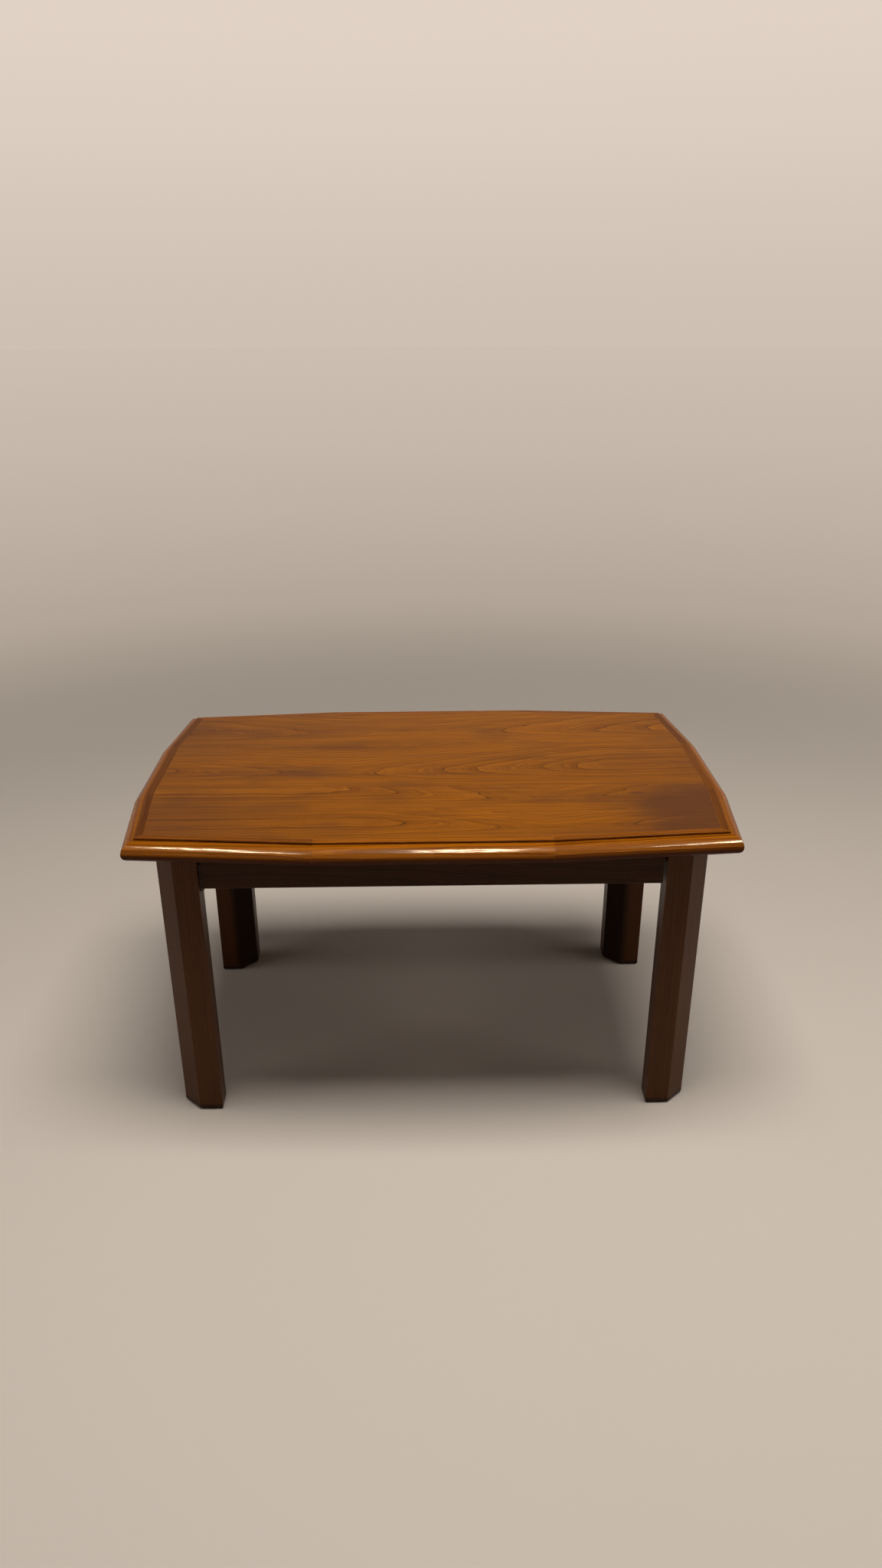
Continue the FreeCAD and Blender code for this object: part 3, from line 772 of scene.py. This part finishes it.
def steel_material(name, light, dark, roughness, patch_size):
    material = bare_material(name)
    tree = material.node_tree
    here = board_place(material)
    patch = fade(tree, cloud(tree, here, (patch_size, patch_size, patch_size), detail=4.0), *steel_patch_fade)
    brushed = cloud(tree, here, brushing_size)
    wear = place_group(tree, rubbed_arris, {"Place": here, "Reach": steel_wear_reach})["Wear"]
    shade = times_plus(tree, minus(tree, brushed, 0.5), brushed_share, patch)
    colour = blend_colour(tree, shade, light, dark)
    colour = blend_colour(tree, times(tree, wear, worn_share), colour, bright_steel)
    rough = times_plus(tree, patch, patch_roughness, roughness)
    feeds = {"Height": brushed, "Strength": brushing_strength, "Distance": brushing_depth}
    raised = result(tree, "ShaderNodeBump", feeds)
    feeds = {"Base Color": colour, "Roughness": rough, "Metallic": 1.0, "Normal": raised}
    show(tree, result(tree, "ShaderNodeBsdfPrincipled", feeds))
    return material


leaf_steel = steel_material("blackened leaf steel", rgb(0.085, 0.072, 0.06), rgb(0.035, 0.028, 0.022),
                            roughness=0.36, patch_size=3.0)
pin_steel = steel_material("blackened pin steel", rgb(0.12, 0.105, 0.09), rgb(0.05, 0.042, 0.034),
                           roughness=0.3, patch_size=2.0)
for corner in leg_boards:
    joined_copy("hinge_apron_leaf_" + corner, ".leaf", "table", leaf_steel)
    joined_copy("hinge_leg_leaf_" + corner, ".leaf", "leg_" + corner, leaf_steel)
    joined_copy("hinge_pin_" + corner, ".pin", "table", pin_steel)


# Magnet catches
# A round plated magnet sunk in each apron end meets a small steel disc screwed to the leg, and
# holds the leg upright when the table is lifted.
magnet_steel = steel_material("nickel plated magnet", rgb(0.62, 0.6, 0.57), rgb(0.42, 0.4, 0.37),
                              roughness=0.18, patch_size=4.0)
joined_copy("catch_magnets", ".plugs", "table", magnet_steel)
for corner in leg_boards:
    joined_copy("catch_strike_" + corner, ".disc", "leg_" + corner, magnet_steel)


# Screws
# Countersunk slotted wood screws: long ones up through the braces and the batten into the core,
# short ones in the hinge leaves, and a small one in each strike disc.
screw_steel = steel_material("browned screw steel", rgb(0.36, 0.31, 0.24), rgb(0.16, 0.12, 0.085),
                             roughness=0.36, patch_size=2.5)
slotted_head = {"Rim": 0.00015, "Slot Width": 0.0008, "Slot Depth": 0.0006, "Finish": screw_steel}
frame_screw = {"Head Radius": 0.0038, "Shank Radius": 0.0019, "Length": 0.041, **slotted_head}
hinge_screw = {"Head Radius": 0.0025, "Shank Radius": 0.0014, "Length": 0.014, **slotted_head}
batten_screw_share = (1.0, 1.0, 0.9)
strike_screw_share = (0.8, 0.8, 0.64)
whole = (1.0, 1.0, 1.0)
taper_start, tip_share, round_steps = 0.75, 0.25, 28
cutter_run, cutter_rise = 2.4, 2.0


# One slotted countersunk screw, turned from a line and set at every place, its head facing its aim
def build_screw_tree():
    sizes = ("Head Radius", "Shank Radius", "Length", "Rim", "Slot Width", "Slot Depth")
    takes = {"Places": "Geometry", **dict.fromkeys(sizes, "Float"), "Finish": "Material"}
    tree, given, made = new_tree("Geometry", "slotted wood screws", takes, {"Screws": "Geometry"})
    head, shank, length, rim, slot_width, slot_depth = (given[label] for label in sizes)
    taper = times(tree, length, taper_start)
    depths = (0.0, rim, minus(tree, head, shank), taper, length)
    tip = times(tree, shank, tip_share)
    radii = (minus(tree, head, rim), head, shank, shank, tip)
    line = result(tree, "GeometryNodeCurvePrimitiveLine", {"End": (0.0, 0.0, -1.0)})
    stations = result(tree, "GeometryNodeResampleCurve", {"Curve": line, "Count": len(depths)})
    order = result(tree, "GeometryNodeInputIndex")
    chosen = []
    for values in (depths, radii):
        choice = add_node(tree, "GeometryNodeIndexSwitch", data_type="FLOAT")
        while len(choice.index_switch_items) < len(values):
            choice.index_switch_items.new()
        feed(tree, choice, {"Index": order, **dict(enumerate(values, 1))})
        chosen.append(choice.outputs[0])
    spot = from_axes(tree, z=times(tree, chosen[0], -1.0))
    moved = result(tree, "GeometryNodeSetPosition", {"Geometry": stations, "Position": spot})
    ring = result(tree, "GeometryNodeCurvePrimitiveCircle", {"Resolution": round_steps, "Radius": 1.0})
    feeds = {"Curve": moved, "Profile Curve": ring, "Scale": chosen[1], "Fill Caps": True}
    turned = result(tree, "GeometryNodeCurveToMesh", feeds)
    slot_size = from_axes(tree, x=times(tree, head, cutter_run), y=slot_width,
                          z=times(tree, slot_depth, cutter_rise))
    cutter = result(tree, "GeometryNodeMeshCube", {"Size": slot_size})
    slotted = result(tree, "GeometryNodeMeshBoolean", {"Mesh 1": turned, "Mesh 2": cutter},
                     operation="DIFFERENCE", solver="EXACT")
    aim = read_note(tree, "aim", "FLOAT_VECTOR")
    facing = result(tree, "FunctionNodeAlignRotationToVector", {"Vector": aim}, axis="Z")
    feeds = {"Axis": (0.0, 0.0, 1.0), "Angle": read_note(tree, "turn")}
    twist = result(tree, "FunctionNodeAxisAngleToRotation", feeds)
    placed = result(tree, "FunctionNodeRotateRotation", {0: facing, 1: twist}, rotation_space="LOCAL")
    feeds = {"Points": given["Places"], "Instance": slotted, "Rotation": placed,
             "Scale": read_note(tree, "share", "FLOAT_VECTOR")}
    spread = result(tree, "GeometryNodeInstanceOnPoints", feeds)
    return finish_tree(tree, spread, given["Finish"], made["Screws"])


screw_tree = build_screw_tree()
screw_turn = 2.4


def set_screws(name, body, sizes, places):
    mesh = bpy.data.meshes.new(name)
    mesh.from_pydata([spot for spot, aim, share in places], [], [])
    for label, kind in (("aim", "FLOAT_VECTOR"), ("turn", "FLOAT"), ("share", "FLOAT_VECTOR")):
        mesh.attributes.new(label, kind, "POINT")
    for i, (spot, aim, share) in enumerate(places):
        mesh.attributes["aim"].data[i].vector = aim
        mesh.attributes["turn"].data[i].value = (i * screw_turn + len(name)) % math.pi
        mesh.attributes["share"].data[i].vector = share
    screws = settle(name + ".slotted", stand_in_scene(name, mesh), screw_tree, sizes)
    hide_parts(name)
    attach(screws, body)


# Long screws: two in each brace, a little outward of its middle, and three along the batten
downward = Vector((0.0, 0.0, -1.0))
head_sunk = 0.001
brace_outward, brace_spread = 0.01, 0.011
batten_screw_rows = (-0.095, 0.0, 0.095)
frame_places = []
for side_x, side_y in ((-1, -1), (-1, 1), (1, -1), (1, 1)):
    brace = "corner_brace_" + ("front_" if side_y < 0 else "back_") + ("left" if side_x < 0 else "right")
    middle, half = middle_and_half(brace)
    for spread in (brace_spread, -brace_spread):
        x = middle.x + side_x * (brace_outward + spread) * math.sqrt(0.5)
        y = middle.y + side_y * (brace_outward - spread) * math.sqrt(0.5)
        frame_places.append(((x, y, middle.z - half.z + head_sunk), downward, whole))
middle, half = middle_and_half("centre_batten")
head_height = middle.z - half.z + head_sunk
frame_places += [((0.0, y, head_height), downward, batten_screw_share) for y in batten_screw_rows]
set_screws("frame_screws", "table", frame_screw, frame_places)

# Short screws: two in each leaf above the hinge's axis, and one in the face of each strike disc
leaf_screw_rises, leaf_face = (0.008, 0.02), 0.0002
apron_places = []
for joint in frame["joints"]:
    body = joint["child"]
    corner = body.removeprefix("leg_")
    pin = Vector(joint["pos_m"])
    toward_apron = Vector((-joint["axis"][1], joint["axis"][0], 0.0))
    leaf_spots = [pin + Vector((0.0, 0.0, rise)) for rise in leaf_screw_rises]
    apron_places += [(spot + toward_apron * leaf_face, -toward_apron, whole) for spot in leaf_spots]
    leg_places = [(spot - toward_apron * leaf_face, toward_apron, whole) for spot in leaf_spots]
    middle, half = middle_and_half("catch_strike_" + corner)
    disc_face = middle + toward_apron * abs(half.dot(toward_apron))
    leg_places.append((disc_face, toward_apron, strike_screw_share))
    set_screws("leg_screws_" + corner, body, hinge_screw, leg_places)
set_screws("hinge_screws_aprons", "table", hinge_screw, apron_places)


# Studio
# A plain pale floor that runs out into an even backdrop, a soft box and three strip lamps overhead,
# and a soft panel at each side. Seen from below the floor is clear, so the underside can be seen.
floor_colour = rgb(0.62, 0.55, 0.485)
backdrop_near = rgb(0.455, 0.385, 0.32)
backdrop_far = rgb(0.62, 0.53, 0.455)
backdrop_top = rgb(0.75, 0.645, 0.56)
dim_ceiling = rgb(0.05, 0.042, 0.035)
matt_radius, backdrop_radius = 0.75, 2.4
floor_radius, floor_drop, floor_corners = 30, -0.0002, 64


def seen_directly(tree):
    path = tree.nodes.new("ShaderNodeLightPath").outputs
    mirrored = larger(tree, path["Is Glossy Ray"], path["Is Transmission Ray"])
    return larger(tree, path["Is Camera Ray"], mirrored)


def stage_floor():
    material = bare_material("plain pale floor")
    tree = material.node_tree
    matt = result(tree, "ShaderNodeBsdfDiffuse", {"Color": floor_colour})
    reach = measure(tree, "LENGTH", tree.nodes.new("ShaderNodeTexCoord").outputs["Object"])
    nearest = number(tree, "DIVIDE", backdrop_radius, larger(tree, reach, backdrop_radius))
    backdrop = blend_colour(tree, rest_of(tree, nearest), backdrop_near, backdrop_far)
    even = result(tree, "ShaderNodeEmission", {"Color": backdrop, "Strength": 1.0})
    share = times(tree, fade(tree, reach, matt_radius, backdrop_radius), seen_directly(tree))
    surface = result(tree, "ShaderNodeMixShader", {0: share, 1: matt, 2: even})
    clear = result(tree, "ShaderNodeBsdfTransparent")
    behind = tree.nodes.new("ShaderNodeNewGeometry").outputs["Backfacing"]
    show(tree, result(tree, "ShaderNodeMixShader", {0: behind, 1: surface, 2: clear}))
    mesh = bpy.data.meshes.new("floor")
    turns = [2 * math.pi * i / floor_corners for i in range(floor_corners)]
    rim = [(floor_radius * math.cos(turn), floor_radius * math.sin(turn), floor_drop) for turn in turns]
    mesh.from_pydata(rim, [], [list(range(floor_corners))])
    put_on(mesh, material)
    stand_in_scene("floor", mesh)


def soft_lamp(name, place, aim, size, watts, colour=(1.0, 0.965, 0.92)):
    lamp = bpy.data.lights.new(name, "AREA")
    lamp.shape = "RECTANGLE"
    lamp.size, lamp.size_y = size
    lamp.energy = watts
    lamp.color = colour
    holder = stand_in_scene(name, lamp)
    holder.location = place
    holder.rotation_euler = (Vector(aim) - Vector(place)).to_track_quat("-Z", "Y").to_euler()
    return holder


stage_floor()
box_x, box_y, box_height, box_size = 0.14, -0.35, 2.2, (1.38, 0.85)
soft_box = soft_lamp("soft box overhead", (box_x, box_y, box_height), (box_x, box_y, 0.0), box_size,
                     watts=42.0)
soft_box.visible_glossy = False

strip_height, strip_length, strip_colour = 1.78, 1.2, (1.0, 0.83, 0.58)
for side, x, y, width, watts in (("left", -0.74, -1.15, 0.18, 27.0), ("middle", 0.1, -1.15, 0.24, 33.0),
                                 ("right", 1.13, -1.3, 0.22, 41.0)):
    strip_size = (width, strip_length)
    strip = soft_lamp("strip " + side, (x, y, strip_height), (x, y, 0.0), strip_size, watts, strip_colour)
    strip.visible_diffuse = False

panel_away, panel_y, panel_height = 1.7, -0.3, 0.9
panel_aim, panel_size = (0.0, 0.0, 0.2), (1.1, 1.1)
soft_lamp("side panel left", (-panel_away, panel_y, panel_height), panel_aim, panel_size, watts=4.5)
soft_lamp("side panel right", (panel_away, panel_y, panel_height), panel_aim, panel_size, watts=5.5)

fill_colour, fill_strength = rgb(1.0, 0.88, 0.76), 0.038
ceiling_fade, wall_fade = (0.12, 0.42), (-0.03, 0.2)
world = bpy.data.worlds.new("even room light")
world.use_nodes = True
room = world.node_tree
room.nodes.remove(room.nodes["Background"])
fill = result(room, "ShaderNodeBackground", {"Color": fill_colour, "Strength": fill_strength})
height = axes(room, room.nodes.new("ShaderNodeTexCoord").outputs["Generated"])[2]
watched = room.nodes.new("ShaderNodeLightPath").outputs["Is Camera Ray"]
ceiling = times(room, fade(room, height, *ceiling_fade), rest_of(room, watched))
walls = blend_colour(room, fade(room, height, *wall_fade), backdrop_far, backdrop_top)
walls = blend_colour(room, ceiling, walls, dim_ceiling)
seen = result(room, "ShaderNodeBackground", {"Color": walls, "Strength": 1.0})
light = result(room, "ShaderNodeMixShader", {0: seen_directly(room), 1: fill, 2: seen})
room.links.new(light, room.nodes["World Output"].inputs[0])
bpy.context.scene.world = world
bpy.context.scene.view_settings.view_transform = "Standard"


# Camera
# Stands in front and a little left of the middle, and looks down on the top. Its place and angles
# were fitted to edges of the table, with the optical axis off the centre of the picture.
picture_width, picture_height = 1152, 2048
film_width = 36.0
focal_pixels, axis_pixel = 1489.44, (566.43, 1166.43)
camera_place = (-0.0124, -1.1407, 0.7514)
pitch, yaw, roll = math.radians(27.0187), math.radians(0.7539), math.radians(-0.37)
forward = Vector((math.sin(yaw) * math.cos(pitch), math.cos(yaw) * math.cos(pitch), -math.sin(pitch)))
level_right = Vector((math.cos(yaw), -math.sin(yaw), 0.0))
level_up = level_right.cross(forward)
right = level_right * math.cos(roll) + level_up * math.sin(roll)
up = level_up * math.cos(roll) - level_right * math.sin(roll)
lens = bpy.data.cameras.new("camera")
lens.sensor_width = film_width
lens.lens = film_width * focal_pixels / picture_height
lens.shift_x = (picture_width / 2 - axis_pixel[0]) / picture_height
lens.shift_y = (axis_pixel[1] - picture_height / 2) / picture_height
camera = stand_in_scene("camera", lens)
camera.matrix_world = Matrix.Translation(camera_place) @ Matrix((right, up, -forward)).transposed().to_4x4()
bpy.context.scene.camera = camera
